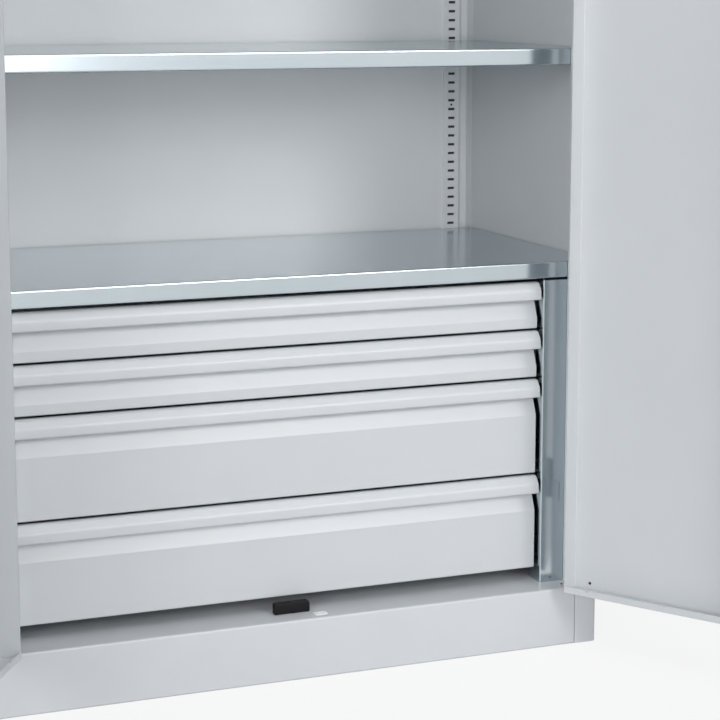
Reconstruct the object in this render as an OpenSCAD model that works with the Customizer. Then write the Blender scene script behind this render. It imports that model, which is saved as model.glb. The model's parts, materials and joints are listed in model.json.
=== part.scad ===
// Two-door steel storage cabinet with shelves and a block of four drawers.
// Millimetres. +Z up, the front faces -Y, the origin is on the ground under the middle of the body.
// The doors stand open and the drawers are shut.

/* [Body] */
// Width over the side panels
cab_w = 1000; // [900:5:1200]
// Depth over the front frame and the back panel
cab_d = 500; // [460:5:600]
// Height from the ground to the roof
cab_h = 1950; // [1850:5:2200]
// Thickness of the body and door sheet
sheet = 1.5; // [1:0.1:2]
// Inner radius of an ordinary bend
bend_r = 1; // [0.5:0.1:1.5]
// Inner radius of the side panel's front corner
corner_r = 4.5; // [2:0.5:8]

/* [Front frame] */
// Width of the side panel's front flange
flange_w = 52; // [45:1:70]
// Depth of the flange's return into the body
return_d = 40; // [36:1:50]
// Width of the side panel's lap behind the back panel
rear_lap = 10; // [6:1:20]
// Height of the roof's front face
header_h = 39; // [30:1:60]
// Height of the upturned edge behind the header
header_lip = 14; // [8:1:20]

/* [Plinth] */
// Height of the floor above the ground
plinth_h = 90; // [70:1:130]
// How far the plinth stands in from each side panel
plinth_inset = 14; // [8:1:20]
// Inner radius of the plinth's front corner
plinth_r = 5; // [2:0.5:8]
// Width of the joint between apron and plinth side
seam = 1; // [0.6:0.1:2]
// Clearance of the apron above the ground
apron_lift = 1.5; // [0:0.1:3]
// Inner radius of the floor's front edge
floor_r = 1.5; // [0.5:0.1:3]
// Width of the plinth's rear and inner flanges
plinth_flange = 25; // [15:1:40]
// Width of the base ring
ring_w = 46; // [40:1:60]

/* [Shelves] */
// Height of the folded shelf edge
shelf_h = 25; // [20:1:35]
// Width of the shelf's bottom lip
shelf_lip = 12; // [8:1:18]
// Gap between a shelf and the side panels
shelf_gap = 1; // [0.5:0.1:2]
// Setback of a shelf behind the frame's return
shelf_set = 1; // [0.5:0.1:3]
// Gap between a shelf and the rear racks
shelf_rear_gap = 1.5; // [1:0.1:5]
// Top of the lowest adjustable shelf
shelf_lower_z = 909; // [860:1:1000]
// Rack slots from one adjustable shelf to the next
shelf_slots = 21; // [16:1:24]

/* [Racks] */
// Width of a rear rack
rack_w = 29; // [24:1:40]
// Gap between a rear rack and the side panel
rack_gap = 25.5; // [18:0.5:40]
// Depth of a rear rack
rack_d = 4.5; // [4:0.1:8]
// Gap between the racks and the floor
rack_lift = 5; // [2:1:20]
// Width of a slot
slot_w = 12; // [10:0.5:16]
// Height of a slot
slot_h = 4; // [3.5:0.1:6]
// Distance from slot to slot
slot_pitch = 15; // [12:0.5:25]
// Radius of a rack's fixing holes
fix_r = 1.9; // [1.5:0.1:3]
// Slots from one fixing hole to the next
fix_slots = 20; // [10:1:40]
// Slots from the lowest adjustable shelf down to a fixing hole
fix_down = 6; // [3:1:9]
// Thickness of a shelf clip
clip_t = 3; // [2:0.1:3.4]
// Width of a shelf clip
clip_w = 10; // [7:0.5:11]
// Reach of a clip under the shelf
clip_reach = 20; // [14:1:30]
// Length of a clip's hook below its tongue
clip_hook = 6; // [4:0.5:8]
// Thickness of a clip's hook
hook_t = 1.2; // [0.8:0.1:1.5]
// Play of a hook behind its rack
hook_play = 0.3; // [0.1:0.1:0.4]

/* [Drawer frame] */
// Distance of a post's running face from the side panel's outer face
post_off = 92; // [86:1:110]
// Depth of a post
post_d = 40; // [30:1:60]
// Width of a post's inner flange
post_lip = 15; // [10:1:25]
// Gap between the frame's return and a front post
post_gap = 0.5; // [0.3:0.1:2]
// Distance of the rear posts from the back
post_rear = 25; // [16:1:40]
// Gap between a post and the shelf above it
post_top_gap = 3; // [2:0.1:6]

/* [Drawers] */
// Height of one drawer unit
unit_h = 75; // [70:1:80]
// Gap between drawers
drawer_gap = 3.3; // [2:0.1:5]
// Gap between the lowest drawer and the floor
drawer_lift = 21.5; // [20:0.5:40]
// Gap between the top drawer and the shelf above it
top_gap = 6; // [4:0.1:10]
// Gap between a drawer front's end and the post
end_gap = 4; // [2:0.1:8]
// Distance of the grip's lip behind the front frame
lip_set = 39; // [38:0.5:45]
// Height of the grip above its lip
grip_h = 27; // [22:0.5:32]
// Depth of the grip's round top
grip_d = 10; // [7:0.5:14]
// Height of the grip's upper bend above its lip
grip_rise = 16; // [12:0.5:20]
// Lean of the grip's face
grip_lean = 1; // [0:0.1:3]
// Depth of the flat on top of the grip
grip_flat = 12; // [8:0.5:16]
// Radius of the grip's round top
grip_r = 8; // [4:0.5:9]
// Depth of the finger recess behind the lip
recess_d = 28; // [22:0.5:29]
// Rise of the finger recess above the lip
recess_rise = 5; // [3:0.5:8]
// Drop of the finger slope below the lip
slope_h = 29; // [24:0.5:34]
// Distance of the flat front behind the lip
face_set = 14; // [10:0.5:18]
// Width of the flange under the tray
front_lap = 32; // [31:1:40]
// Sheet thickness of a tray
tray_t = 1.2; // [0.8:0.1:1.5]
// Drop of a tray's rim below the grip's top
tray_drop = 16; // [10:1:24]
// Gap between the trays and the rear of the frame
tray_rear_gap = 20; // [10:1:40]

/* [Runners] */
// Height of a runner
runner_h = 36; // [32:1:40]
// Width of a runner from post to tray
runner_w = 14; // [12:0.5:18]
// Sheet thickness of a runner member
runner_t = 1.5; // [1:0.1:1.8]
// Play between runner members
runner_play = 0.3; // [0.2:0.05:0.5]
// Height of a runner's middle above the drawer's bottom edge
runner_z = 29; // [26:1:32]

/* [Doors] */
// Opening angle of the doors
door_open = 122; // [0:1:122]
// Thickness of a door
door_t = 32; // [28:0.5:34]
// Width of the inner flange at a door's free edge
door_flange = 27; // [20:1:35]
// Height of a door's inner bottom and top lip
door_lip = 10; // [6:0.5:14]
// Side of the notch in those lips
door_notch = 6; // [4:0.5:8]
// Distance of that notch from the door's edge at the hinges
notch_off = 39; // [20:1:60]
// Gap between a door and the front frame at the hinges
hinge_gap = 3; // [2.5:0.1:5]
// Gap over and under a door
door_gap = 2; // [1:0.1:4]
// Gap between the doors
meet_gap = 3; // [2:0.1:5]
// Width of a door stiffener
stiff_w = 70; // [50:1:100]
// Depth of a door stiffener
stiff_d = 20; // [12:1:26]
// Width of a stiffener's foot
stiff_foot = 15; // [10:1:20]
// Distance of a stiffener from the door's free edge
stiff_off = 150; // [110:1:200]
// Gap between a stiffener's ends and the door's ends
stiff_end = 20; // [12:1:60]
// Reach of the left door's strip behind the right door
strip_reach = 14; // [8:1:20]
// Width of that strip on the left door
strip_w = 22; // [14:1:26]
// Clearance between the strip and the right door
strip_play = 0.5; // [0.3:0.1:1]
// Distance of the strip from the door's ends
strip_end = 30; // [26:1:80]

/* [Hinges] */
// Radius of a hinge knuckle
knuckle_r = 5; // [4:0.1:7]
// Height of one knuckle
knuckle_h = 30; // [20:1:45]
// Radius of a hinge pin
pin_r = 3; // [2:0.1:3.5]
// Running clearance around a pin
pin_play = 0.05; // [0.02:0.01:0.1]
// Gap between knuckles and in front of the door
knuckle_gap = 0.3; // [0.2:0.05:0.6]
// Thickness of a hinge leaf
leaf_t = 1.2; // [0.8:0.1:1.2]
// Depth of a hinge leaf in the gap
leaf_d = 25; // [15:1:28]
// Distance of the end hinges from the door's ends
hinge_end = 150; // [80:1:300]

/* [Lock] */
// Distance of the locking rods from the middle of the body
rod_x = 39; // [36:0.5:44]
// Distance of the locking rods behind the front
rod_set = 20; // [18:0.5:21]
// Width of a locking rod
rod_w = 12; // [10:0.5:13]
// Thickness of a locking rod
rod_t = 5; // [4:0.1:6]
// Clearance around a locking rod in its holes
rod_play = 2; // [0.5:0.1:3]
// Clearance around a locking rod in its bushes
bush_play = 0.5; // [0.3:0.1:1]
// Width of a rod bush's rim around its hole
bush_rim = 2; // [1:0.5:4]
// Thickness of a rod bush's rim
bush_t = 0.8; // [0.5:0.1:1]
// Depth of a rod bush below its rim
bush_d = 9; // [4:0.5:20]
// Clearance around a locking rod in its guides
guide_play = 0.3; // [0.2:0.05:0.6]
// Wall of a rod guide
guide_wall = 3; // [2:0.1:5]
// Height of a rod guide
guide_h = 12; // [8:1:20]
// Height of the handle above the ground
lever_z = 1000; // [900:1:1100]
// Radius of the lock cam's pins about the spindle
cam_r = 18; // [16:0.5:19]
// Radius of a cam pin
cam_pin_r = 3; // [2:0.1:3.5]
// Thickness of the lock cam
cam_t = 3; // [2:0.1:3.4]
// Clearance in front of and behind the lock cam
cam_play = 1; // [0.5:0.1:2]
// Clearance around a cam pin in its slot
slot_play = 0.9; // [0.9:0.05:1.2]
// Distance of a withdrawn rod's end from the door's end
rod_tip = 2; // [1.8:0.1:10]
// Width of the lock cam
cam_w = 12; // [10:0.5:14]
// Radius of the spindle
spindle_r = 5; // [4:0.1:5.5]
// Clearance around the spindle
spindle_play = 0.05; // [0.02:0.01:0.1]
// Width of a rod's end plate
end_w = 20; // [18:0.5:22]
// Height of a rod's end plate
end_h = 55; // [48:1:70]
// Half height of the lock case
case_h = 55; // [48:1:80]
// Half width of the lock case
case_w = 30; // [29:0.5:32]
// Length of the lever from its spindle
lever_l = 115; // [90:1:140]
// Height of the lever
lever_h = 18; // [14:0.5:24]
// Thickness of the lever
lever_t = 11; // [8:0.5:16]
// Gap between the lever's arm and the plate behind it
arm_gap = 3.5; // [2:0.1:6]
// Radius of the lever's hub
hub_r = 16; // [13:0.5:20]
// Radius of the lock core in the hub
core_r = 9; // [6:0.5:11]
// How far the lock core stands out of the hub
core_out = 1.5; // [0.5:0.1:3]
// Depth of the lock core in the hub
core_in = 5; // [3:0.5:6]
// Height of the plate behind the handle
plate_h = 110; // [80:1:160]
// Width of the plate behind the handle
plate_w = 40; // [36:1:44]
// Thickness of the plate behind the handle
plate_t = 3; // [2:0.1:5]
// Corner radius of the plate behind the handle
plate_r = 8; // [3:0.5:15]

/* [Stops] */
// Width of a door stop buffer
buffer_w = 55; // [40:1:80]
// Height of a door stop buffer
buffer_h = 17; // [12:0.5:18]
// Depth of a door stop buffer
buffer_d = 12; // [8:0.5:16]
// Corner radius of a door stop buffer
buffer_r = 4; // [1:0.5:6]
// Gap between the shut doors and the buffers
buffer_gap = 1.5; // [0.5:0.1:3]
// Radius of the small holes in the floor
hole_r = 3; // [2:0.1:5]
// Distance of these holes from the frame's return
hole_x = 15; // [10:0.5:25]
// Distance of these holes behind the front
hole_set = 11.5; // [9:0.5:20]

/* [Hidden] */
$fn = 48;
bend_steps = 5;
// Overshoot of a cut
over = 1;

paint = "#c7cbce";
zinc = "#a3b0b6";
white = "#f0f1ef";
black = "#1d1f21";
steel = "#8d9498";

// Front, rear and side planes of the body
front_y = -cab_d/2;
rear_y = cab_d/2;
side_x = cab_w/2;
wall_x = side_x - sheet;
wall_y = rear_y - sheet;
ret_x = side_x - flange_w;
ret_y = front_y + return_d;
roof_z = cab_h - sheet;
head_z = cab_h - header_h;
under_z = plinth_h - sheet;
plinth_x = side_x - plinth_inset;

// Racks: the slots are laid out from the lowest adjustable shelf
rack_x1 = wall_x - rack_gap;
rack_x0 = rack_x1 - rack_w;
rack_y = wall_y - rack_d;
rack_z0 = plinth_h + rack_lift;
rack_z1 = head_z - rack_lift;
slot_z0 = shelf_lower_z - shelf_h - clip_t;
first_slot = ceil((rack_z0 + slot_h - slot_z0)/slot_pitch);
last_slot = floor((rack_z1 - 2*slot_h - slot_z0)/slot_pitch);
first_fix = ceil((first_slot + fix_down)/fix_slots);
last_fix = floor((last_slot + fix_down - 1)/fix_slots);

// Shelves
shelf_x = wall_x - shelf_gap;
shelf_y0 = ret_y + shelf_set;
shelf_y1 = rack_y - shelf_rear_gap;
shelf_tops = [for (i = [0:2]) shelf_lower_z + i*shelf_slots*slot_pitch];
front_rack_x = (ret_x + sheet + wall_x)/2;
rear_rack_x = (rack_x0 + rack_x1)/2;

// Drawer frame and drawers, from the floor up to the shelf over them
units = [1, 1, 2, 2];
last = len(units) - 1;
function units_above(i) = i == 0 ? 0 : units[i - 1] + units_above(i - 1);
drawers_top = plinth_h + drawer_lift + units_above(last + 1)*unit_h - drawer_gap;
cover_z = drawers_top + top_gap + shelf_h;
post_x = side_x - post_off;
post_y = ret_y + post_gap;
post_y1 = rear_y - post_rear;
post_top = cover_z - shelf_h - post_top_gap;
lip_y = front_y + lip_set;
front_x = post_x - end_gap;
tray_x = post_x - runner_w;
tray_y0 = lip_y + front_lap;
tray_y1 = post_y1 - tray_rear_gap;
function drawer_top(i) = drawers_top - units_above(i)*unit_h;
function drawer_bottom(i) = drawer_top(i) - units[i]*unit_h + drawer_gap;
function runner_mid(i) = drawer_bottom(i) + runner_z;

// Runner members: each nests in the next with the same play
mid_x1 = post_x - runner_t - runner_play;
mid_h = runner_h - 2*(runner_t + runner_play);
in_x1 = mid_x1 - runner_t - runner_play;
in_h = mid_h - 2*(runner_t + runner_play);
lip_short = runner_w/3;

// Doors, drawn shut
door_x0 = meet_gap/2;
door_x1 = ret_x - hinge_gap;
door_z0 = plinth_h + door_gap;
door_z1 = head_z - door_gap;
door_y = front_y + door_t;
skin_y = front_y + sheet;
pivot_x = ret_x - hinge_gap/2;
pivot_y = front_y - knuckle_r - knuckle_gap;
hinge_zs = [door_z0 + hinge_end, (door_z0 + door_z1)/2, door_z1 - hinge_end];
stiff_x = door_x0 + stiff_off;
stiff_lean = stiff_d/4;

// Lock: the cam's pins stand at 45 degrees to the rods at both ends of the quarter turn
rod_y = front_y + rod_set;
rod_y0 = rod_y - rod_t/2;
rod_y1 = rod_y + rod_t/2;
cam_pin = cam_r*cos(45);
cam_sway = cam_r - cam_pin;
cam_y = rod_y1 + cam_play;
case_y = cam_y + cam_t + cam_play;
slot_end_h = 2*(cam_pin_r + slot_play);
slot_end_w = cam_sway + slot_end_h;
lever_y = front_y - plate_t - knuckle_gap;
arm_y = lever_y - arm_gap;

// Folded sheet: a path of fold points, with the sheet on the path's left and a round bend at each fold.
// A third entry in a point sets that bend's own inner radius.
function flat(p) = [p[0], p[1]];
function unit(v) = v/norm(v);
function left(v) = [-v[1], v[0]];
function bend(a, b, c, r, thick, off) =
  let (
    u = unit(b - a),
    w = unit(c - b),
    turn = atan2(u[0]*w[1] - u[1]*w[0], u*w),
    e = turn > 0 ? thick + r : -r,
    mid = b + (left(u) + left(w))*e/(1 + u*w),
    start = atan2(u[1], u[0])
  )
  [for (i = [0:bend_steps]) let (a = start + turn*i/bend_steps) mid + (off - e)*[-sin(a), cos(a)]];
function edge(p, thick, off) =
  let (n = len(p) - 1)
  concat(
    [flat(p[0]) + off*left(unit(flat(p[1]) - flat(p[0])))],
    [for (k = [1:1:n - 1])
      each bend(flat(p[k - 1]), flat(p[k]), flat(p[k + 1]), len(p[k]) > 2 ? p[k][2] : bend_r, thick, off)],
    [flat(p[n]) + off*left(unit(flat(p[n]) - flat(p[n - 1])))]
  );
function reversed(p) = [for (i = [len(p) - 1:-1:0]) p[i]];
module fold(p, thick = sheet) polygon(concat(edge(p, thick, 0), reversed(edge(p, thick, thick))));

// Profiles are drawn as [y, z], [x, z] or [x, y] and run along the axis in the name
module run_x(x0, x1) translate([x0, 0, 0]) rotate([90, 0, 90]) linear_extrude(x1 - x0) children();
module run_y(y0, y1) translate([0, y1, 0]) rotate([90, 0, 0]) linear_extrude(y1 - y0) children();
module run_z(z0, z1) translate([0, 0, z0]) linear_extrude(z1 - z0) children();
module block(lo, hi) translate(lo) cube(hi - lo);
module left_side() mirror([1, 0, 0]) children();
module both_sides() {
  children();
  left_side() children();
}
// A cylinder along Y
module pin_y(x, z, y0, y1, r) translate([x, y1, z]) rotate([90, 0, 0]) cylinder(h = y1 - y0, r = r);
// A rectangle with round corners
module round_rect(w, h, r) {
  square([w - 2*r, h], center = true);
  square([w, h - 2*r], center = true);
  for (sx = [-1, 1], sy = [-1, 1]) translate([sx*(w/2 - r), sy*(h/2 - r)]) circle(r);
}

// Body sheets

module side_panel() color(paint) run_z(under_z, roof_z) fold([
  [ret_x, ret_y], [ret_x, front_y], [side_x, front_y, corner_r],
  [side_x, wall_y], [side_x - sheet - rear_lap, wall_y]
]);

module back_panel() color(paint) block([-side_x, wall_y, under_z], [side_x, rear_y, roof_z]);

module roof_outline() {
  r = corner_r + sheet;
  translate([-side_x, front_y + r]) square([cab_w, cab_d - r]);
  translate([r - side_x, front_y]) square([cab_w - 2*r, 2*r]);
  both_sides() translate([side_x - r, front_y + r]) circle(r);
}

// Outline around a locking rod, long in X, with this much room on each side
module rod_outline(room) translate([rod_x, rod_y]) round_rect(rod_w + 2*room, rod_t + 2*room, rod_t/2);

// Hole for a locking rod
module rod_hole(z0, z1) run_z(z0, z1) rod_outline(rod_play);

module roof_panel() color(paint) difference() {
  union() {
    run_z(roof_z, cab_h) roof_outline();
    run_x(-ret_x, ret_x) fold([
      [front_y, cab_h - sheet/2], [front_y, head_z], [ret_y, head_z], [ret_y, head_z + header_lip]
    ]);
  }
  rod_hole(head_z - sheet, head_z + 2*sheet);
}

module floor_panel() color(paint) difference() {
  union() {
    run_x(-ret_x, ret_x) fold([
      [wall_y - sheet, plinth_h], [front_y, plinth_h, floor_r], [front_y, apron_lift]
    ]);
    both_sides() block([ret_x - sheet, ret_y, under_z], [wall_x, wall_y - sheet, plinth_h]);
  }
  rod_hole(under_z - sheet, plinth_h + sheet);
  both_sides() translate([ret_x - hole_x, front_y + hole_set, under_z - sheet])
    cylinder(h = 3*sheet, r = hole_r);
}

// Bush in a rod hole, drawn with the underside of its rim at the height 0
module rod_bush() color(white) difference() {
  union() {
    run_z(0, bush_t) rod_outline(rod_play + bush_rim);
    run_z(-bush_d, bush_t) rod_outline(rod_play);
  }
  run_z(-bush_d - over, bush_t + over) rod_outline(bush_play);
}

module rod_bushes() {
  translate([0, 0, plinth_h]) rod_bush();
  translate([0, 0, head_z]) mirror([0, 0, 1]) rod_bush();
}

module plinth_side() color(paint) run_z(0, under_z) fold([
  [ret_x + seam, front_y + plinth_flange], [ret_x + seam, front_y], [plinth_x, front_y, plinth_r],
  [plinth_x, rear_y], [plinth_x - plinth_flange, rear_y]
]);

module plinth_rear() color(paint) run_x(-(plinth_x - plinth_flange), plinth_x - plinth_flange) fold([
  [rear_y, apron_lift], [rear_y, under_z], [rear_y - plinth_flange, under_z]
]);

// Flat welded ring on the ground inside the plinth
module base_ring() color(paint) run_z(0, sheet) difference() {
  union() {
    translate([-ret_x, front_y + sheet]) square([2*ret_x, plinth_flange + ring_w]);
    translate([sheet - plinth_x, front_y + plinth_flange])
      square([2*(plinth_x - sheet), cab_d - plinth_flange - sheet]);
  }
  square([2*(plinth_x - sheet - ring_w), cab_d - 2*ring_w], center = true);
}

// Racks, shelves and clips

// Slots across a rack, with fixing holes halfway between two slots, drawn as [x, z]
module slots(x) {
  for (k = [first_slot:last_slot]) translate([x - slot_w/2, slot_z0 + k*slot_pitch]) square([slot_w, slot_h]);
  for (k = [first_fix:last_fix])
    translate([x, slot_z0 + (k*fix_slots - fix_down + 1/2)*slot_pitch + slot_h/2]) circle(fix_r);
}

module front_rack() color(paint) run_y(ret_y - sheet, ret_y) difference() {
  translate([ret_x + sheet, rack_z0]) square([wall_x - ret_x - sheet, rack_z1 - rack_z0]);
  slots(front_rack_x);
}

module rear_rack() color(paint) {
  run_y(rack_y, rack_y + sheet) difference() {
    translate([rack_x0, rack_z0]) square([rack_w, rack_z1 - rack_z0]);
    slots(rear_rack_x);
  }
  for (x = [rack_x0, rack_x1 - sheet]) block([x, rack_y, rack_z0], [x + sheet, wall_y, rack_z1]);
}

module shelf(top) color(zinc) {
  bottom = top - shelf_h;
  run_x(-shelf_x, shelf_x) fold([
    [shelf_y1 - shelf_lip, bottom], [shelf_y1, bottom], [shelf_y1, top],
    [shelf_y0, top], [shelf_y0, bottom], [shelf_y0 + shelf_lip, bottom]
  ]);
  both_sides()
    block([shelf_x - sheet, shelf_y0 + sheet, bottom + sheet], [shelf_x, shelf_y1 - sheet, top - sheet]);
}

// A clip is a flat tongue through a slot, with a hook behind the rack
module clip(x, y_shelf, y_back, bottom) {
  toward = sign(y_back - y_shelf);
  y_hook = y_back + toward*(sheet + hook_play);
  y_end = y_hook + toward*hook_t;
  y_tip = y_shelf - toward*clip_reach;
  block([x - clip_w/2, min(y_tip, y_end), bottom - clip_t], [x + clip_w/2, max(y_tip, y_end), bottom]);
  block([x - clip_w/2, min(y_hook, y_end), bottom - clip_t - clip_hook],
    [x + clip_w/2, max(y_hook, y_end), bottom]);
}

module shelf_clips() color(steel) for (top = shelf_tops) both_sides() {
  clip(rear_rack_x, shelf_y1, rack_y, top - shelf_h);
  clip(front_rack_x, shelf_y0, ret_y, top - shelf_h);
}

// Drawer frame and runners

// A post is a folded channel; a tab inside it carries the lip of the shelf over the drawers
module post(p, y0, y1) color(zinc) {
  run_z(plinth_h, post_top) fold(p);
  block([post_x + sheet, y0, post_top - post_lip], [post_x + 2*sheet, y1, cover_z - shelf_h]);
}

module front_post() post([
  [post_x + post_lip, post_y + post_d], [post_x, post_y + post_d], [post_x, post_y], [wall_x, post_y]
], shelf_y0 + 2*sheet, shelf_y0 + shelf_lip);

module rear_post() post([
  [wall_x, post_y1], [post_x, post_y1], [post_x, post_y1 - post_d], [post_x + post_lip, post_y1 - post_d]
], post_y1 - post_lip, shelf_y1 - sheet);

module runner_rail(i) color(zinc) translate([0, 0, runner_mid(i)]) run_y(tray_y0, post_y1) fold([
  [tray_x + lip_short, -runner_h/2], [post_x, -runner_h/2],
  [post_x, runner_h/2], [tray_x + lip_short, runner_h/2]
], runner_t);

// A pair of runner members, on both sides of a drawer
module runner_pair(i, p) color(steel) both_sides() translate([0, 0, runner_mid(i)])
  run_y(tray_y0, tray_y1) fold(p, runner_t);

module runner_middle(i) runner_pair(i, [
  [tray_x + 2*runner_t, -mid_h/2], [mid_x1, -mid_h/2], [mid_x1, mid_h/2], [tray_x + 2*runner_t, mid_h/2]
]);

module drawer_runner(i) runner_pair(i, [
  [in_x1, in_h/2], [tray_x, in_h/2], [tray_x, -in_h/2], [in_x1, -in_h/2]
]);

// Drawers

module drawer_front(i) color(paint) {
  top = drawer_top(i);
  lip = top - grip_h;
  bottom = drawer_bottom(i);
  run_x(-front_x, front_x) fold([
    [lip_y + grip_d + grip_flat, top - tray_drop/2], [lip_y + grip_d + grip_flat, top],
    [lip_y + grip_d, top, grip_r], [lip_y + grip_lean, lip + grip_rise, grip_r], [lip_y, lip],
    [lip_y + recess_d, lip + recess_rise], [lip_y + face_set, lip - slope_h],
    [lip_y + face_set, bottom], [tray_y0 + front_lap/2, bottom]
  ]);
}

module drawer_tray(i) color(zinc) {
  bottom = drawer_bottom(i) + sheet;
  rim = drawer_top(i) - tray_drop;
  difference() {
    block([-tray_x, tray_y0, bottom], [tray_x, tray_y1, rim]);
    block([tray_t - tray_x, tray_y0 + tray_t, bottom + tray_t],
      [tray_x - tray_t, tray_y1 - tray_t, rim + tray_t]);
  }
}

// Stops

module buffer() color(black) run_y(door_y + buffer_gap, door_y + buffer_gap + buffer_d) intersection() {
  round_rect(buffer_w, 2*buffer_h, buffer_r);
  translate([-buffer_w/2, 0]) square([buffer_w, buffer_h]);
}

module floor_buffer() translate([0, 0, plinth_h]) buffer();
module roof_buffer() translate([0, 0, head_z]) mirror([0, 0, 1]) buffer();

// Hinges: the lower knuckle and the pin belong to the frame, the upper knuckle to the door

module knuckle(z0, z1, x0, bore) {
  difference() {
    union() {
      translate([pivot_x, pivot_y, z0]) cylinder(h = z1 - z0, r = knuckle_r);
      block([x0, pivot_y, z0], [x0 + leaf_t, front_y + leaf_d, z1]);
    }
    translate([pivot_x, pivot_y, z0 - over]) cylinder(h = z1 - z0 + 2*over, r = bore);
  }
}

module frame_knuckles() color(steel) both_sides() for (z = hinge_zs)
  knuckle(z - knuckle_h, z, ret_x - leaf_t, pin_r + pin_play);

module hinge_pins() color(steel) both_sides() for (z = hinge_zs)
  translate([pivot_x, pivot_y, z - knuckle_h]) cylinder(h = 2*knuckle_h + knuckle_gap, r = pin_r);

module door_knuckles() color(steel) for (z = hinge_zs)
  knuckle(z + knuckle_gap, z + knuckle_gap + knuckle_h, door_x1, pin_r + pin_play);

// Doors

// Turns a shut right door, and what it carries, to its open place
module opened() translate([pivot_x, pivot_y]) rotate(door_open) translate([-pivot_x, -pivot_y]) children();

module door_lips() difference() {
  for (z = [door_z0, door_z1 - door_lip])
    block([door_x0 + door_flange - sheet, door_y - sheet, z], [door_x1 - sheet/2, door_y, z + door_lip]);
  for (z = [door_z0 + door_lip, door_z1 - door_lip])
    translate([door_x1 - notch_off, door_y - sheet/2, z]) rotate([0, 45, 0])
      cube([door_notch, 2*sheet, door_notch], center = true);
}

module door_pan() {
  run_z(door_z0, door_z1) fold([
    [door_x0 + door_flange, door_y], [door_x0, door_y], [door_x0, front_y],
    [door_x1, front_y], [door_x1, door_y]
  ]);
  for (z = [door_z0, door_z1 - sheet])
    block([door_x0 + sheet/2, skin_y - sheet/2, z], [door_x1 - sheet/2, door_y - sheet/2, z + sheet]);
  door_lips();
}

module door_right() color(paint) difference() {
  door_pan();
  for (z = [door_z0, door_z1 - sheet]) rod_hole(z - sheet, z + 2*sheet);
  pin_y(rod_x, lever_z, front_y - sheet, skin_y + sheet, spindle_r + spindle_play);
}

module door_left() color(paint) door_pan();

module door_stiffener() color(paint) run_z(door_z0 + stiff_end, door_z1 - stiff_end) fold([
  [stiff_x + stiff_w/2, skin_y + sheet], [stiff_x + stiff_w/2 - stiff_foot, skin_y + sheet],
  [stiff_x + stiff_w/2 - stiff_foot - stiff_lean, skin_y + stiff_d],
  [stiff_x - stiff_w/2 + stiff_foot + stiff_lean, skin_y + stiff_d],
  [stiff_x - stiff_w/2 + stiff_foot, skin_y + sheet], [stiff_x - stiff_w/2, skin_y + sheet]
]);

// Drawn on the shut right door's side of the middle and mirrored with the left door
module meeting_strip() color(paint) {
  z0 = door_z0 + strip_end;
  z1 = door_z1 - strip_end;
  y0 = door_y + strip_play;
  block([door_x0, door_y, z0], [door_x0 + strip_w, y0 + sheet, z1]);
  block([-strip_reach, y0, z0], [door_x0 + strip_w, y0 + sheet, z1]);
}

// Lock on the right door, drawn shut and unlocked

module lock_case() color(steel) difference() {
  union() {
    block([rod_x - case_w, case_y, lever_z - case_h], [rod_x + case_w, case_y + sheet, lever_z + case_h]);
    for (x = [rod_x - case_w, rod_x + case_w - sheet])
      block([x, skin_y, lever_z - case_h], [x + sheet, case_y + sheet, lever_z + case_h]);
  }
  pin_y(rod_x, lever_z, case_y - over, case_y + sheet + over, spindle_r + spindle_play);
}

module handle_plate() color(black) difference() {
  translate([rod_x, 0, lever_z]) run_y(front_y - plate_t, front_y) round_rect(plate_w, plate_h, plate_r);
  pin_y(rod_x, lever_z, front_y - plate_t - over, front_y + over, spindle_r + spindle_play);
}

module handle_lever() color(black) difference() {
  union() {
    pin_y(rod_x, lever_z, lever_y - lever_t - core_in, lever_y, hub_r);
    block([rod_x, lever_y - lever_t, lever_z - lever_h/2],
      [rod_x + lever_l - lever_h/2, arm_y, lever_z + lever_h/2]);
    pin_y(rod_x + lever_l - lever_h/2, lever_z, lever_y - lever_t, arm_y, lever_h/2);
  }
  pin_y(rod_x, lever_z, lever_y - lever_t, lever_y + over, spindle_r);
  pin_y(rod_x, lever_z, lever_y - lever_t - core_in - over, lever_y - lever_t, core_r);
}

module lock_core() color(steel)
  pin_y(rod_x, lever_z, lever_y - lever_t - core_in - core_out, lever_y - lever_t, core_r);

module handle_spindle() color(steel) pin_y(rod_x, lever_z, lever_y - lever_t, case_y + sheet, spindle_r);

module lock_cam() color(steel) difference() {
  translate([rod_x, 0, lever_z]) rotate([0, -45, 0]) {
    block([-cam_r, cam_y, -cam_w/2], [cam_r, cam_y + cam_t, cam_w/2]);
    for (x = [-cam_r, cam_r]) {
      pin_y(x, 0, cam_y, cam_y + cam_t, cam_w/2);
      pin_y(x, 0, rod_y0, cam_y + cam_t, cam_pin_r);
    }
  }
  pin_y(rod_x, lever_z, cam_y - over, cam_y + cam_t + over, spindle_r);
}

// A rod's end plate stands beside the spindle, with a slot for its cam pin
module rod_end() difference() {
  block([rod_x - rod_w/2 - end_w, rod_y0, lever_z - cam_pin - slot_end_h],
    [rod_x - rod_w/2, rod_y1, lever_z - cam_pin - slot_end_h + end_h]);
  translate([rod_x - cam_pin - cam_sway/2, rod_y, lever_z - cam_pin])
    cube([slot_end_w, rod_t + 2*over, slot_end_h], center = true);
}

module rod_upper() color(steel) {
  top = lever_z - cam_pin - slot_end_h + end_h;
  rod_end();
  block([rod_x - rod_w/2 - end_w, rod_y0, top - rod_w], [rod_x + rod_w/2, rod_y1, top]);
  block([rod_x - rod_w/2, rod_y0, top - rod_w], [rod_x + rod_w/2, rod_y1, door_z1 - rod_tip]);
}

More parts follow.
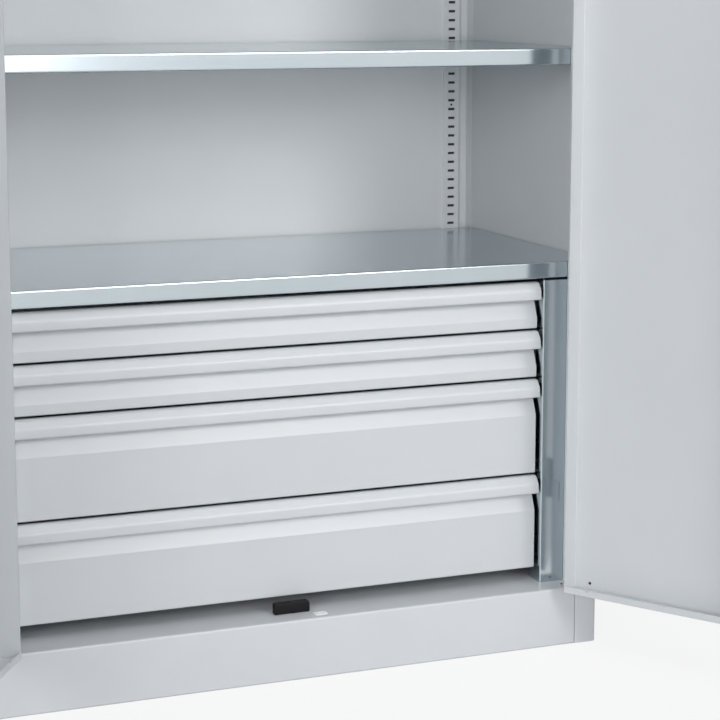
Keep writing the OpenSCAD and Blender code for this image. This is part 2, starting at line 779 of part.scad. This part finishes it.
module rod_lower() color(steel) {
  low = lever_z + cam_pin + slot_end_h - end_h;
  translate([rod_x, 0, lever_z]) rotate([0, 180, 0]) translate([-rod_x, 0, -lever_z]) rod_end();
  block([rod_x - rod_w/2, rod_y0, low], [rod_x + rod_w/2 + end_w, rod_y1, low + rod_w]);
  block([rod_x - rod_w/2, rod_y0, door_z0 + rod_tip], [rod_x + rod_w/2, rod_y1, low + rod_w]);
}

module rod_guides() color(steel) {
  run = (door_z1 - lever_z)/3;
  drop = (lever_z - door_z0)/3;
  w = rod_w/2 + guide_play;
  y1 = rod_y1 + guide_play;
  for (z = [lever_z + run, lever_z + 2*run, lever_z - drop, lever_z - 2*drop]) difference() {
    block([rod_x - w - guide_wall, skin_y, z], [rod_x + w + guide_wall, y1 + guide_wall, z + guide_h]);
    block([rod_x - w, rod_y0 - guide_play, z - over], [rod_x + w, y1, z + guide_h + over]);
  }
}

left_side() side_panel();  // side_panel_left
side_panel();  // side_panel_right
back_panel();
roof_panel();
floor_panel();
left_side() plinth_side();  // plinth_side_left
plinth_side();  // plinth_side_right
plinth_rear();
base_ring();
both_sides() front_rack();  // front_racks
both_sides() rear_rack();  // rear_racks
shelf(cover_z);  // shelf_over_drawers
shelf(shelf_tops[0]);  // shelf_lower
shelf(shelf_tops[1]);  // shelf_middle
shelf(shelf_tops[2]);  // shelf_upper
shelf_clips();
both_sides() front_post();  // front_posts
both_sides() rear_post();  // rear_posts
both_sides() for (i = [0:last]) runner_rail(i);  // runner_rails
floor_buffer();
roof_buffer();
rod_bushes();
frame_knuckles();
hinge_pins();
opened() door_right();
opened() door_stiffener();  // door_stiffener_right
opened() door_knuckles();  // door_knuckles_right
opened() lock_case();
opened() handle_plate();
opened() rod_guides();
left_side() opened() door_left();
left_side() opened() door_stiffener();  // door_stiffener_left
left_side() opened() door_knuckles();  // door_knuckles_left
left_side() opened() meeting_strip();
opened() handle_lever();
opened() lock_core();
opened() handle_spindle();
opened() lock_cam();
opened() rod_upper();
opened() rod_lower();
for (i = [0:last]) {
  drawer_front(i);
  drawer_tray(i);
  drawer_runner(i);
  runner_middle(i);
}
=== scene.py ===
"""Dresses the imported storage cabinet: finishes, rounded pieces, fixings, light and camera."""

import json
import math

import bmesh
import bpy
from mathutils import Matrix, Vector

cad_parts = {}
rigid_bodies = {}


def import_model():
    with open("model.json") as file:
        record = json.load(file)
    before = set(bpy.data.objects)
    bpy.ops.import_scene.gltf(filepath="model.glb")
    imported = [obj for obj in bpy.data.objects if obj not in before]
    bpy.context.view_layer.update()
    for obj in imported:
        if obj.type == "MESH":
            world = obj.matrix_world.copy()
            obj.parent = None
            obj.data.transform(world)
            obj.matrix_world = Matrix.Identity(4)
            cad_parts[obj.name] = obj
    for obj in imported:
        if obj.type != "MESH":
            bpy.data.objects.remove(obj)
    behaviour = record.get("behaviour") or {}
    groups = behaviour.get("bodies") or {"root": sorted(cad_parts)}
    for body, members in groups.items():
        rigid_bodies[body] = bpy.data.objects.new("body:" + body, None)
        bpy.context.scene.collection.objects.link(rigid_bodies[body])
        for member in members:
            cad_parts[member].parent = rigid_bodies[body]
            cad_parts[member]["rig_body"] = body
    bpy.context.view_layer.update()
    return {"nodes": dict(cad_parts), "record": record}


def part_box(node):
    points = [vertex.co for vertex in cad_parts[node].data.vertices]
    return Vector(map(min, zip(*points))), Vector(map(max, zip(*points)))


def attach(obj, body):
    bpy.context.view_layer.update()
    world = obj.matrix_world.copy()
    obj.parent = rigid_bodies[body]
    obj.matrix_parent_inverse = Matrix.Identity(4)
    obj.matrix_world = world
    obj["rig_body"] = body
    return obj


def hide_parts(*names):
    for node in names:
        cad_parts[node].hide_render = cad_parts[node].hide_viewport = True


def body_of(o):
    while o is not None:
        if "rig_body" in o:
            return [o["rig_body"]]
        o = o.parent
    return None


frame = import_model()
nodes = frame["nodes"]

MM = 0.001

# Camera, fitted to the shelf edges, grips, plinth corner and door in the photograph
EYE = (-0.9722, -2.9177, 0.9992)
EYE_TURN = 21.773
EYE_DIP = 9.054
LENS_MM = 101.365
SENSOR_MM = 36
SHIFT_DOWN = -0.07

# Sizes of the cabinet that the fixings follow, in millimetres and degrees, as in the part's source
SHEET = 1.5
DOOR_OPEN = 122
PIVOT = (446.5, -255.3)
DOOR_INSIDE_Y = -248.5
DOOR_BOTTOM = 92
DOOR_TOP = 1909
HINGE_HEIGHTS = (242, 1000.5, 1759)
KNUCKLE_HEIGHT = 30
KNUCKLE_GAP = 0.3
STIFFENER_X = 151.5
STIFFENER_FOOT_X = 27.5
RACK_X = 458.5
LOCK_X = 39
LOCK_HEIGHT = 1000
PLATE_FRONT_Y = -253
CORE_FACE_Y = -270.8
CASE_BACK_Y = -221

# Places of the fixings, in millimetres
# the black plugs stand for the small dark holes at the door's lower corner and in the floor; their black is
# painted shade for the dark inside of the holes
DOOR_PLUG = (417.5, DOOR_INSIDE_Y, DOOR_BOTTOM + 12)
FLOOR_PLUG = (436, -229, 90)
LOCK_SCREW_Z = 43
CASE_SCREW_X = 20
DOOR_WELD_END = 60
DOOR_WELD_STEP = 140
BACK_WELD_EDGE = 12
BACK_WELD_END_X = 60
BACK_WELD_END_Z = 40
BACK_WELD_STEP = 110

# Shading of the rounded pieces and of the fixings, in degrees between faces
ROUNDED_FROM = 40
SHARP_FROM = 38
FIXING_SHARP_FROM = 50

# Share of plain white in the floor where the camera or a mirror sees it
FLOOR_WHITE = 0.86
# Level of the surroundings as light
WORLD_LIGHT = 0.15


# Finishes

def linear(hex_colour):
    """Linear RGBA of an sRGB hex colour."""
    parts = [int(hex_colour[i:i + 2], 16) / 255 for i in (1, 3, 5)]
    return [c / 12.92 if c <= 0.04045 else ((c + 0.055) / 1.055) ** 2.4 for c in parts] + [1.0]


def link_inputs(tree, node, sources):
    """Links inputs of a node to the sockets of other nodes."""
    for socket, source in sources.items():
        tree.links.new(source, node.inputs[socket])


def add(tree, kind, values=None, links=None, **settings):
    """Adds a node with its settings, its own input values and its links from other sockets."""
    node = tree.nodes.new(kind)
    for name, value in settings.items():
        setattr(node, name, value)
    for socket, value in (values or {}).items():
        node.inputs[socket].default_value = value
    link_inputs(tree, node, links or {})
    return node


def finish(name, values):
    """A new material with a shader that has these values; gives the material, its tree and the shader."""
    material = bpy.data.materials.new(name)
    material.use_nodes = True
    tree = material.node_tree
    tree.nodes.clear()
    shader = add(tree, "ShaderNodeBsdfPrincipled", values)
    add(tree, "ShaderNodeOutputMaterial", links={"Surface": shader.outputs["BSDF"]})
    return material, tree, shader


def per_metre(size_mm):
    """Texture scale that gives a pattern of this size."""
    return 1 / (size_mm * MM)


def object_place(tree):
    """Coordinates that stay with the object."""
    return add(tree, "ShaderNodeTexCoord").outputs["Object"]


def noise(tree, place, scale, detail=2.0):
    """Cloudy pattern between 0 and 1."""
    values = {"Scale": scale, "Detail": detail}
    return add(tree, "ShaderNodeTexNoise", values, {"Vector": place}).outputs["Fac"]


def mixed_colour(tree, factor, first, second):
    """Colour between two hex colours."""
    mix = add(tree, "ShaderNodeMix", links={"Factor": factor}, data_type="RGBA")
    for socket in mix.inputs:
        if socket.type == "RGBA":
            socket.default_value = linear(first if socket.name == "A" else second)
    return next(s for s in mix.outputs if s.type == "RGBA")


def between(tree, factor, low, high):
    """Number between two values."""
    values = {"To Min": low, "To Max": high}
    return add(tree, "ShaderNodeMapRange", values, {"Value": factor}).outputs["Result"]


def rounded(tree, radius_mm):
    """Normal that runs softly over a fold or a sheared edge of this radius."""
    return add(tree, "ShaderNodeBevel", {"Radius": radius_mm * MM}, samples=4).outputs["Normal"]


def bumped(tree, height, strength, depth_mm, **base):
    """Normal that a height pattern disturbs, on top of another normal where one is given."""
    values = {"Strength": strength, "Distance": depth_mm * MM}
    return add(tree, "ShaderNodeBump", values, {"Height": height, **base}).outputs["Normal"]


def powder_coat(name, dark, light):
    """Polyester powder coat on folded steel: satin, with faint orange peel, cloudy sheen and soft folds."""
    # real orange peel is about 1.5 mm wide; it is drawn at 3 mm so that it shows
    cloud_mm, peel_mm, peel_depth_mm, peel_strength = 90, 3, 0.05, 0.12
    fold_mm = 1.2
    smooth, dull = 0.29, 0.33
    material, tree, shader = finish(name, {"IOR": 1.5})
    place = object_place(tree)
    cloud = noise(tree, place, per_metre(cloud_mm), detail=3.0)
    peel = noise(tree, place, per_metre(peel_mm))
    link_inputs(tree, shader, {
        "Base Color": mixed_colour(tree, cloud, dark, light),
        "Roughness": between(tree, cloud, smooth, dull),
        "Normal": bumped(tree, peel, peel_strength, peel_depth_mm, Normal=rounded(tree, fold_mm)),
    })
    return material


def galvanised(name, along, dark="#BBC6CC", light="#C4CDD2", smooth=0.13, dull=0.2):
    """Skin-passed galvanised sheet: cool grey zinc, a soft mirror, with rolling streaks along one axis."""
    # rolling marks are hair-fine; they are drawn 4 mm wide and 300 mm long so that they show
    streak_mm, streak_length_mm, streak_depth_mm, streak_strength = 4, 300, 0.02, 0.03
    cloud_mm, fold_mm = 60, 1.0
    material, tree, shader = finish(name, {"Metallic": 1.0})
    place = object_place(tree)
    scale = [per_metre(streak_length_mm if axis == along else streak_mm) for axis in "xyz"]
    stretched = add(tree, "ShaderNodeMapping", {"Scale": scale}, {"Vector": place}).outputs["Vector"]
    streak = noise(tree, stretched, 1.0, detail=3.0)
    cloud = noise(tree, place, per_metre(cloud_mm))
    link_inputs(tree, shader, {
        "Base Color": mixed_colour(tree, cloud, dark, light),
        "Roughness": between(tree, streak, smooth, dull),
        "Normal": bumped(tree, streak, streak_strength, streak_depth_mm, Normal=rounded(tree, fold_mm)),
    })
    return material


def zinc_plate():
    """Bright zinc plate on small steel pieces: pale, warm and cool in patches, with drawn steel beneath."""
    patch_mm, grain_mm, grain_depth_mm, grain_strength = 12, 0.8, 0.02, 0.15
    smooth, dull = 0.24, 0.4
    material, tree, shader = finish("zinc_plated_steel", {"Metallic": 1.0})
    place = object_place(tree)
    patch = noise(tree, place, per_metre(patch_mm), detail=3.0)
    grain = noise(tree, place, per_metre(grain_mm))
    link_inputs(tree, shader, {
        "Base Color": mixed_colour(tree, patch, "#B4BABF", "#C6C3BA"),
        "Roughness": between(tree, patch, smooth, dull),
        "Normal": bumped(tree, grain, grain_strength, grain_depth_mm),
    })
    return material


def moulded(name, dark, light, grain_mm, rough, gloss):
    """Moulded rubber or plastic, and the dark sheet of painted shade behind the rack slots, with a fine
    eroded grain and a slightly cloudy sheen.
    """
    cloud_mm, grain_depth_mm, grain_strength = 15, 0.05, 0.3
    smoother, duller = 0.05, 0.08
    material, tree, shader = finish(name, {"IOR": 1.5, "Specular IOR Level": gloss})
    place = object_place(tree)
    grain = noise(tree, place, per_metre(grain_mm))
    cloud = noise(tree, place, per_metre(cloud_mm), detail=3.0)
    link_inputs(tree, shader, {
        "Base Color": mixed_colour(tree, cloud, dark, light),
        "Roughness": between(tree, cloud, rough - smoother, rough + duller),
        "Normal": bumped(tree, grain, grain_strength, grain_depth_mm),
    })
    return material


def nickel():
    """Nickel plate on the lock core: bright and slightly warm, with the faint mottling of a casting."""
    mottle_mm = 2
    smooth, dull = 0.12, 0.24
    material, tree, shader = finish("nickel_plated_lock_core", {"Metallic": 1.0})
    mottle = noise(tree, object_place(tree), per_metre(mottle_mm))
    link_inputs(tree, shader, {
        "Base Color": mixed_colour(tree, mottle, "#C9C7C1", "#D6D4CE"),
        "Roughness": between(tree, mottle, smooth, dull),
    })
    return material


PAINT = powder_coat("powder_coat_light_grey", "#CCCFD2", "#D1D4D6")
# the back and its racks get a paler copy of the grey paint; the paleness is painted light, standing in for
# more light on the back inside the cabinet
BACK_PAINT_PAINTED_LIGHT = powder_coat("pale_grey_painted_light", "#EBEDEF", "#EFF1F2")
ZINC_ALONG = {axis: galvanised("galvanised_sheet_along_" + axis, axis) for axis in "xyz"}
# the trays are folded from plain galvanised coil, duller and greyer than the sheet of the shelves
TRAY_ZINC = galvanised("galvanised_tray_sheet", "x", "#B6BABC", "#BEC2C4", smooth=0.34, dull=0.42)
PLATED = zinc_plate()
RUBBER = moulded("black_buffer_rubber", "#0F1011", "#17181A", grain_mm=0.8, rough=0.62, gloss=0.2)
# painted shade: the dark grey of the sheet behind the rack slots stands in for the shade inside them
SLOT_SHADE_FINISH = moulded("dark_grey_painted_slot_shade", "#4A4E51", "#54585B", grain_mm=1.2, rough=0.8, gloss=0.2)
NYLON = moulded("natural_white_nylon", "#F3F5F5", "#FAFBFB", grain_mm=0.6, rough=0.4, gloss=0.5)
PLASTIC = moulded("black_glass_filled_polyamide", "#18191B", "#212325", grain_mm=0.5, rough=0.48, gloss=0.4)
NICKEL = nickel()
SLOT_FINISH = {
    "painted_sheet": PAINT,
    "galvanised_sheet": ZINC_ALONG["x"],
    "plated_steel": PLATED,
    "buffer_rubber": RUBBER,
    "bush_nylon": NYLON,
    "handle_plastic": PLASTIC,
    "lock_chrome": NICKEL,
}
UPRIGHTS = ("front_posts", "rear_posts", "front_racks", "rear_racks")
node_slot = {row["node"]: row["material_slot"] for row in frame["record"]["subparts"]}
# the knuckles are welded on before the cabinet is painted
for node in ("frame_knuckles", "door_knuckles_right", "door_knuckles_left"):
    node_slot[node] = "painted_sheet"


def finish_of(node):
    """Finish of a CAD node: by its slot, with streaks along the sheet, dull trays, and a paler copy of the
    paint on the back and rear racks as painted light.
    """
    slot = node_slot[node]
    if slot == "galvanised_sheet" and node in UPRIGHTS:
        return ZINC_ALONG["z"]
    if slot == "galvanised_sheet" and "runner" in node:
        return ZINC_ALONG["y"]
    if "tray" in node:
        return TRAY_ZINC
    # painted light: the back and the rear racks take the paler copy of the grey paint
    if node in ("back_panel", "rear_racks"):
        return BACK_PAINT_PAINTED_LIGHT
    return SLOT_FINISH[slot]


def coat(mesh, material):
    """Gives a mesh this finish alone."""
    mesh.materials.clear()
    mesh.materials.append(material)


for name, obj in nodes.items():
    coat(obj.data, finish_of(name))


# Smoothed and rounded pieces

def new_object(name, data):
    """A linked object at the origin."""
    obj = bpy.data.objects.new(name, data)
    bpy.context.scene.collection.objects.link(obj)
    return obj


def new_mesh(name, shape):
    """A mesh from a working shape, which is freed."""
    mesh = bpy.data.meshes.new(name)
    shape.to_mesh(mesh)
    shape.free()
    return mesh


def shade(mesh, sharp_degrees):
    """Shades a mesh smoothly, except over edges that are sharper than this."""
    mesh.shade_smooth()
    mesh.set_sharp_from_angle(angle=math.radians(sharp_degrees))


def evaluated_mesh(obj):
    """Plain mesh of an object with its modifiers in it."""
    return bpy.data.meshes.new_from_object(obj.evaluated_get(bpy.context.evaluated_depsgraph_get()))


def merged_copy(node):
    """A CAD node's mesh with its loose triangles joined and its flat faces made whole."""
    join_mm, flat_degrees = 0.001, 0.5
    mesh = nodes[node].data.copy()
    shape = bmesh.new()
    shape.from_mesh(mesh)
    bmesh.ops.remove_doubles(shape, verts=shape.verts, dist=join_mm * MM)
    bmesh.ops.dissolve_limit(shape, angle_limit=math.radians(flat_degrees),
                             verts=shape.verts, edges=shape.edges)
    shape.to_mesh(mesh)
    shape.free()
    return mesh


def smoothed(node, edge_mm=0, cutter=None):
    """Stands for a CAD node: curved faces shade smoothly, edges are cut and rounded where that is asked."""
    piece = new_object(node + "_smooth", merged_copy(node))
    if cutter:
        cut = piece.modifiers.new("cut", "BOOLEAN")
        cut.object = cutter
    if edge_mm:
        bevel = piece.modifiers.new("rounding", "BEVEL")
        bevel.width = edge_mm * MM
        bevel.segments = 3
        bevel.angle_limit = math.radians(ROUNDED_FROM)
    if piece.modifiers:
        mesh = evaluated_mesh(piece)
        piece.modifiers.clear()
        piece.data = mesh
    shade(piece.data, SHARP_FROM)
    coat(piece.data, finish_of(node))
    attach(piece, body_of(nodes[node])[0])
    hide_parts(node)


for node in ("drawer_front_1", "drawer_front_2", "drawer_front_3", "drawer_front_4",
             "plinth_side_left", "plinth_side_right", "floor_panel", "frame_knuckles", "hinge_pins",
             "door_knuckles_right", "door_knuckles_left", "handle_spindle", "rod_bushes"):
    smoothed(node)
for node, edge_mm in (("floor_buffer", 2), ("roof_buffer", 2), ("handle_lever", 1.5), ("handle_plate", 1)):
    smoothed(node, edge_mm)


def swung(side=1):
    """Matrix that swings a shut right door open, mirrored for the left door where side is -1."""
    pivot = Matrix.Translation(Vector((*PIVOT, 0)) * MM)
    swing = pivot @ Matrix.Rotation(math.radians(DOOR_OPEN), 4, "Z") @ pivot.inverted()
    return Matrix.Diagonal((side, 1, 1, 1)) @ swing


def add_box(shape, middle_mm, size_mm, move=Matrix.Identity(4)):
    """Adds a box to a working shape, moved by a matrix."""
    place = Matrix.Translation(Vector(middle_mm) * MM)
    size = Matrix.Diagonal((*(Vector(size_mm) * MM), 1))
    bmesh.ops.create_cube(shape, size=1, matrix=move @ place @ size)


def keyway():
    """Block in the shape of the key slot in the lock core's face."""
    width, depth, height = 7.2, 3.0, 1.4
    shape = bmesh.new()
    add_box(shape, (LOCK_X, CORE_FACE_Y, LOCK_HEIGHT), (width, depth, height), swung())
    return new_object("keyway", new_mesh("keyway", shape))


key_cutter = keyway()
smoothed("lock_core", edge_mm=0.25, cutter=key_cutter)
bpy.data.objects.remove(key_cutter)


# Painted shade behind the rack slots

def rack_tape():
    """A dark grey sheet on the back panel behind the slots of the rear racks: painted shade, which makes
    the slots look deep and dark.
    """
    width, thickness, end_gap, edge = 24, 0.6, 8, 0.2
    low, high = (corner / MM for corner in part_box("rear_racks"))
    shape = bmesh.new()
    for side in (-1, 1):
        middle = (side * RACK_X, high.y - thickness / 2, (low.z + high.z) / 2)
        add_box(shape, middle, (width, thickness, high.z - low.z - 2 * end_gap))
    bmesh.ops.bevel(shape, geom=shape.edges, offset=edge * MM, segments=2, affect="EDGES", profile=0.5)
    mesh = new_mesh("rack_tape", shape)
    # painted shade in the rack slots
    coat(mesh, SLOT_SHADE_FINISH)
    slot_shade_piece = new_object("rack_tape", mesh)
    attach(slot_shade_piece, "carcass")


rack_tape()


# Fixings

def turned(name, outline_mm, finish_slot, hex_rings=()):
    """A closed head turned about Z from [radius, height] rings; rings named in hex_rings are six-sided."""
    steps = 24
    shape = bmesh.new()
    rings = []
    for index, (radius, height) in enumerate(outline_mm):
        ring = []
        for step in range(steps):
            angle = 2 * math.pi * step / steps
            across = math.cos(math.pi / 6) / math.cos(angle % (math.pi / 3) - math.pi / 6)
            reach = radius * MM * (across if index in hex_rings else 1)
            ring.append(shape.verts.new((reach * math.cos(angle), reach * math.sin(angle), height * MM)))
        rings.append(ring)
    for low, high in zip(rings, rings[1:]):
        for step in range(steps):
            after = (step + 1) % steps
            shape.faces.new((low[step], low[after], high[after], high[step]))
    shape.faces.new(list(reversed(rings[0])))
    shape.faces.new(rings[-1])
    bmesh.ops.recalc_face_normals(shape, faces=shape.faces)
    mesh = new_mesh(name, shape)
    shade(mesh, FIXING_SHARP_FROM)
    head = new_object(name, mesh)
    head["slot"] = finish_slot
    return head


def fixings_tree():
    """Geometry Nodes tree that sets a head on every point, with its Z axis along the point's direction."""
    tree = bpy.data.node_groups.new("fixings", "GeometryNodeTree")
    tree.interface.new_socket("Points", in_out="INPUT", socket_type="NodeSocketGeometry")
    tree.interface.new_socket("Head", in_out="INPUT", socket_type="NodeSocketObject")
    tree.interface.new_socket("Finish", in_out="INPUT", socket_type="NodeSocketMaterial")
    tree.interface.new_socket("Fixings", in_out="OUTPUT", socket_type="NodeSocketGeometry")
    given = add(tree, "NodeGroupInput")
    head = add(tree, "GeometryNodeObjectInfo", links={"Object": given.outputs["Head"]})
    axis = add(tree, "GeometryNodeInputNamedAttribute", {"Name": "axis"}, data_type="FLOAT_VECTOR")
    turn = add(tree, "FunctionNodeAlignRotationToVector",
               links={"Vector": axis.outputs["Attribute"]}, axis="Z")
    placed = add(tree, "GeometryNodeInstanceOnPoints",
                 links={"Points": given.outputs["Points"], "Instance": head.outputs["Geometry"],
                        "Rotation": turn.outputs["Rotation"]})
    real = add(tree, "GeometryNodeRealizeInstances", links={"Geometry": placed.outputs["Instances"]})
    coated = add(tree, "GeometryNodeSetMaterial",
                 links={"Geometry": real.outputs["Geometry"], "Material": given.outputs["Finish"]})
    add(tree, "NodeGroupOutput", links={"Fixings": coated.outputs["Geometry"]})
    return tree


FIXINGS = fixings_tree()
FIXING_INPUT = {item.name: item.identifier
                for item in FIXINGS.interface.items_tree if item.in_out == "INPUT"}


def fixings(name, body, head, points_mm, axis, place=Matrix.Identity(4)):
    """One mesh of equal heads on a body, at these places and along this axis, both moved by a matrix."""
    mesh = bpy.data.meshes.new(name)
    mesh.from_pydata([place @ (Vector(p) * MM) for p in points_mm], [], [])
    directions = mesh.attributes.new("axis", "FLOAT_VECTOR", "POINT")
    for row in directions.data:
        row.vector = place.to_3x3() @ Vector(axis)
    piece = new_object(name, mesh)
    setter = piece.modifiers.new("fixings", "NODES")
    setter.node_group = FIXINGS
    setter[FIXING_INPUT["Head"]] = head
    setter[FIXING_INPUT["Finish"]] = SLOT_FINISH[head["slot"]]
    solid = evaluated_mesh(piece)
    piece.modifiers.remove(setter)
    piece.data = solid
    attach(piece, body)


def spread(start, end, step):
    """Evenly spaced numbers from start to end, about one step apart."""
    count = round((end - start) / step)
    return [start + (end - start) * k / count for k in range(count + 1)]


FORWARDS = (0, -1, 0)
BACKWARDS = (0, 1, 0)
UPWARDS = (0, 0, 1)
weld_mark = turned("weld_mark", [(3.2, -0.3), (3.2, 0.08), (2.6, 0.3), (1.9, 0.3), (1.3, 0.1)],
                   "painted_sheet")
# painted shade: black plugs stand in for the dark inside of small holes
hole_plug = turned("hole_plug", [(2.2, -0.5), (2.2, 0.3), (1.8, 0.6), (1.0, 0.8)], "handle_plastic")
pin_head = turned("pin_head", [(2.7, -0.5), (2.7, 0.3), (4.4, 0.3), (4.4, 1.0), (3.7, 1.9), (2.2, 2.5),
                               (0.8, 2.7)], "plated_steel")
socket_screw = turned("socket_screw", [(3.6, -0.5), (3.6, 0.4), (3.2, 1.2), (2.3, 1.8), (1.5, 1.8),
                                       (1.4, 0.5)], "plated_steel", hex_rings=(4, 5))

lock_rows = [LOCK_HEIGHT - LOCK_SCREW_Z, LOCK_HEIGHT + LOCK_SCREW_Z]
fixings("handle_plate_screws", "right_door", socket_screw,
        [(LOCK_X, PLATE_FRONT_Y, z) for z in lock_rows], FORWARDS, swung())
fixings("lock_case_screws", "right_door", socket_screw,
        [(LOCK_X + x, CASE_BACK_Y, z) for x in (-CASE_SCREW_X, CASE_SCREW_X) for z in lock_rows],
        BACKWARDS, swung())

foot_rows = spread(DOOR_BOTTOM + DOOR_WELD_END, DOOR_TOP - DOOR_WELD_END, DOOR_WELD_STEP)
foot_marks = [(STIFFENER_X + x, DOOR_INSIDE_Y + SHEET, z)
              for x in (-STIFFENER_FOOT_X, STIFFENER_FOOT_X) for z in foot_rows]
for side, body in ((1, "right_door"), (-1, "left_door")):
    fixings(body + "_weld_marks", body, weld_mark, foot_marks, BACKWARDS, swung(side))
    fixings(body + "_plug", body, hole_plug, [DOOR_PLUG], BACKWARDS, swung(side))
fixings("floor_plugs", "carcass", hole_plug,
        [(side * FLOOR_PLUG[0], *FLOOR_PLUG[1:]) for side in (-1, 1)], UPWARDS)

pin_tops = [(side * PIVOT[0], PIVOT[1], z + KNUCKLE_GAP + KNUCKLE_HEIGHT)
            for side in (-1, 1) for z in HINGE_HEIGHTS]
fixings("hinge_pin_heads", "carcass", pin_head, pin_tops, UPWARDS)

back_low, back_high = (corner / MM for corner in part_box("back_panel"))
back_rows = spread(back_low.z + BACK_WELD_END_Z, back_high.z - BACK_WELD_END_Z, BACK_WELD_STEP)
back_columns = spread(back_low.x + BACK_WELD_END_X, back_high.x - BACK_WELD_END_X, BACK_WELD_STEP)
back_marks = [(x, back_high.y, z)
              for x in (back_low.x + BACK_WELD_EDGE, back_high.x - BACK_WELD_EDGE) for z in back_rows]
back_marks += [(x, back_high.y, z)
               for x in back_columns for z in (back_low.z + BACK_WELD_EDGE, back_high.z - BACK_WELD_EDGE)]
fixings("back_panel_weld_marks", "carcass", weld_mark, back_marks, BACKWARDS)

for head in (weld_mark, hole_plug, pin_head, socket_screw):
    bpy.data.objects.remove(head)


# Stage

def seen_or_mirrored(tree):
    """1 for rays from the camera and for mirrored or transmitted ones, 0 for scattered light."""
    path = add(tree, "ShaderNodeLightPath").outputs
    seen = add(tree, "ShaderNodeMath", links={0: path["Is Camera Ray"], 1: path["Is Glossy Ray"]},
               operation="MAXIMUM").outputs["Value"]
    return add(tree, "ShaderNodeMath", links={0: seen, 1: path["Is Transmission Ray"]},
               operation="MAXIMUM").outputs["Value"]


def studio_floor():
    """A wide pale floor that stays near white for the camera and keeps the cabinet's soft shadow."""
    half = 7.0
    corners = [(-half, -half, 0), (half, -half, 0), (half, half, 0), (-half, half, 0)]
    mesh = bpy.data.meshes.new("studio_floor")
    mesh.from_pydata(corners, [], [(0, 1, 2, 3)])
    floor = new_object("studio_floor", mesh)
    material, tree, shader = finish("matt_white_floor", {"Base Color": linear("#CBCCCD"), "Roughness": 0.9})
    share = between(tree, seen_or_mirrored(tree), 0.0, FLOOR_WHITE)
    white = add(tree, "ShaderNodeEmission", {"Strength": 1.0})
    both = add(tree, "ShaderNodeMixShader",
               links={0: share, 1: shader.outputs["BSDF"], 2: white.outputs["Emission"]})
    output = next(n for n in tree.nodes if n.type == "OUTPUT_MATERIAL")
    link_inputs(tree, output, {"Surface": both.outputs["Shader"]})
    coat(mesh, material)


def studio_world():
    """White surroundings: full white where they are seen or mirrored, and a plain soft level as light."""
    world = bpy.data.worlds.new("studio")
    world.use_nodes = True
    tree = world.node_tree
    tree.nodes.clear()
    shown = seen_or_mirrored(tree)
    level = between(tree, shown, WORLD_LIGHT, 1.0)
    tint = mixed_colour(tree, shown, "#DCEAF5", "#FFFFFF")
    back = add(tree, "ShaderNodeBackground", links={"Color": tint, "Strength": level})
    add(tree, "ShaderNodeOutputWorld", links={"Surface": back.outputs["Background"]})
    bpy.context.scene.world = world


def softbox(name, place, target, width, height, watts):
    """A rectangular studio light aimed at a point."""
    light = bpy.data.lights.new(name, "AREA")
    light.shape = "RECTANGLE"
    light.size = width
    light.size_y = height
    light.energy = watts
    lamp = new_object(name, light)
    lamp.location = place
    lamp.rotation_euler = (Vector(target) - Vector(place)).to_track_quat("-Z", "Y").to_euler()


def camera():
    """The photograph's view: a little downwards, from the left of the middle."""
    data = bpy.data.cameras.new("camera")
    data.sensor_width = SENSOR_MM
    data.lens = LENS_MM
    data.shift_y = SHIFT_DOWN
    eye = new_object("camera", data)
    eye.location = EYE
    eye.rotation_euler = (math.radians(90 - EYE_DIP), 0, -math.radians(EYE_TURN))
    bpy.context.scene.camera = eye


bpy.context.scene.view_settings.view_transform = "Standard"
studio_floor()
studio_world()
# places, targets and sizes in metres, power in watts; balanced so that the tones follow the photograph's
softbox("key_softbox", (1.9, -5.5, 3.1), (0, -0.2, 0.55), 1.6, 1.4, 66)
softbox("front_softbox", (-0.6, -9.0, 1.7), (0, 0, 0.8), 4.6, 2.4, 118)
softbox("left_front_softbox", (-5.2, -6.5, 1.9), (0.4, -0.3, 0.8), 3.0, 3.0, 128)
softbox("left_softbox", (-6.4, -5.0, 2.6), (0.4, -0.3, 0.8), 3.0, 3.0, 122)
softbox("top_softbox", (0.0, -1.9, 4.4), (0, -0.3, 0.5), 4.2, 3.2, 58)
softbox("right_front_softbox", (2.4, -6.5, 2.4), (0, 0, 0.8), 2.0, 1.0, 52)
softbox("right_softbox", (6.0, 1.0, 2.4), (0.5, 0, 0.9), 3.0, 3.0, 100)
softbox("rear_softbox", (-2.6, 6.2, 3.0), (0, 0.25, 1.0), 4.0, 3.0, 150)
camera()
